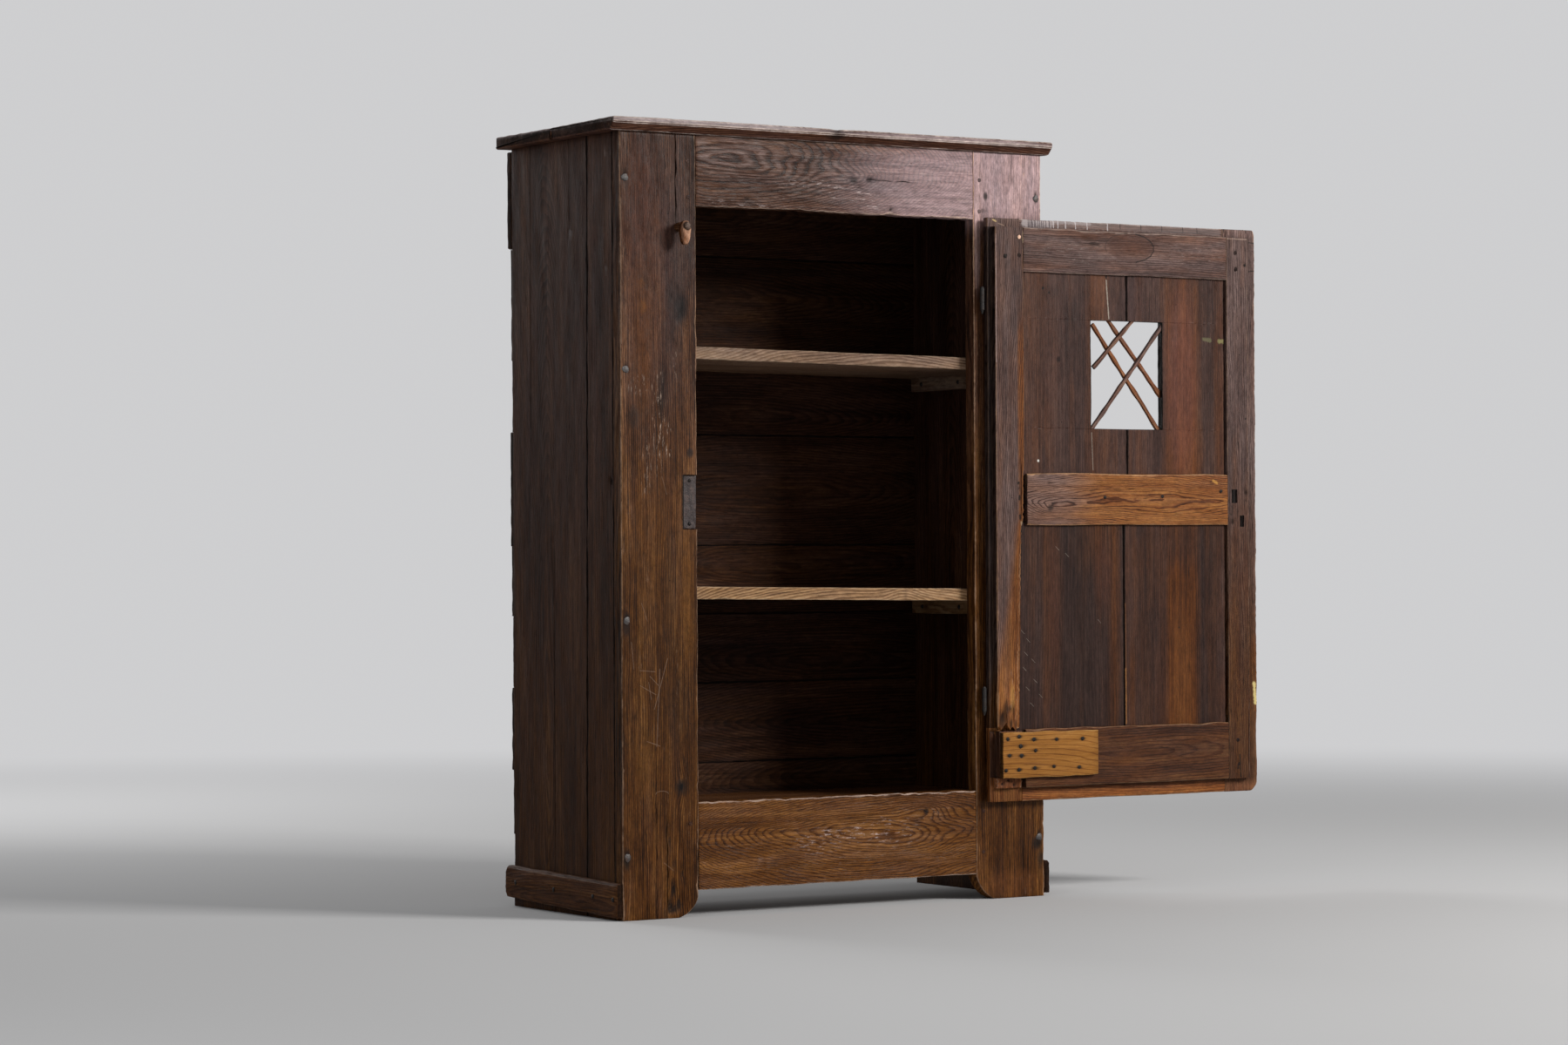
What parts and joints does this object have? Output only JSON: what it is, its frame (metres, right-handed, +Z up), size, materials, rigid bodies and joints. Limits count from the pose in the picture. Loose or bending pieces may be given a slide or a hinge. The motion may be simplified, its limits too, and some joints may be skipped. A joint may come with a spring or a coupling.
{
  "type": "food cupboard",
  "caption": "Plank-built oak food cupboard with wide foot-stiles, open shelves and one framed door with a latticed window, folded fully open.",
  "frame": {"origin": "on the floor, at the middle of the outline of the whole part with its door folded open", "axes": "+Z up, -Y towards the person in front of the cupboard, +X to that person's right, where the door hangs"},
  "size_m": [1.628, 0.518, 1.602],
  "materials": {
    "carcass_oak": "old waxed dark oak",
    "door_oak": "weathered dry oak",
    "panel_oak": "purple-brown worn oak",
    "shelf_oak": "bare scrubbed oak",
    "pine": "yellow aged pine",
    "button_wood": "handled softwood",
    "iron": "rusty forged iron"
  },
  "bodies": {
    "carcass": {"back_nails": "iron", "back_plank_1": "carcass_oak", "back_plank_2": "carcass_oak", "back_plank_3": "carcass_oak", "back_plank_4": "carcass_oak", "back_plank_5": "carcass_oak", "back_plank_6": "carcass_oak", "back_plank_7": "carcass_oak", "back_plank_8": "carcass_oak", "bottom_rail": "carcass_oak", "cleat_nails": "iron", "floor_board": "carcass_oak", "floor_board_cleats": "shelf_oak", "front_nails": "iron", "hinge_stile_nails": "iron", "joint_pegs": "carcass_oak", "keeper_nails": "iron", "left_plinth": "carcass_oak", "left_side_front_board": "carcass_oak", "left_side_rear_board": "carcass_oak", "left_stile": "carcass_oak", "lock_keeper": "iron", "lower_hinge_pin": "iron", "lower_hinge_stile_leaf": "iron", "lower_shelf": "shelf_oak", "lower_shelf_cleats": "shelf_oak", "plinth_nails": "iron", "right_plinth": "carcass_oak", "right_side_front_board": "carcass_oak", "right_side_rear_board": "carcass_oak", "right_stile": "carcass_oak", "top_board_front": "carcass_oak", "top_board_rear": "carcass_oak", "top_nails": "iron", "top_rail": "carcass_oak", "turn_button_nail": "iron", "turn_button_spacer": "button_wood", "upper_hinge_pin": "iron", "upper_hinge_stile_leaf": "iron", "upper_shelf": "shelf_oak", "upper_shelf_cleats": "shelf_oak"},
    "door": {"door_bottom_rail": "door_oak", "door_corner_block": "door_oak", "door_hinge_stile": "door_oak", "door_lock_stile": "door_oak", "door_mid_rail": "door_oak", "door_nails": "iron", "door_panel_lower_left": "panel_oak", "door_panel_lower_right": "panel_oak", "door_panel_upper_left": "panel_oak", "door_panel_upper_right": "panel_oak", "door_patch_board": "pine", "door_pegs": "door_oak", "door_top_rail": "door_oak", "hinge_door_nails": "iron", "lattice_slats_inner": "door_oak", "lattice_slats_outer": "door_oak", "lower_hinge_door_leaf": "iron", "upper_hinge_door_leaf": "iron"},
    "turn_button": {"turn_button": "button_wood"}
  },
  "joints": [
    {"name": "door_hinge", "type": "hinge", "parent": "carcass", "child": "door", "pos_m": [0.087, -0.22, 0.82], "axis": [0, 0, -1], "range_deg": [0, 180]},
    {"name": "turn_button_pivot", "type": "hinge", "parent": "carcass", "child": "turn_button", "pos_m": [-0.6525, -0.2345, 1.387], "axis": [0, -1, 0], "continuous": true}
  ]
}
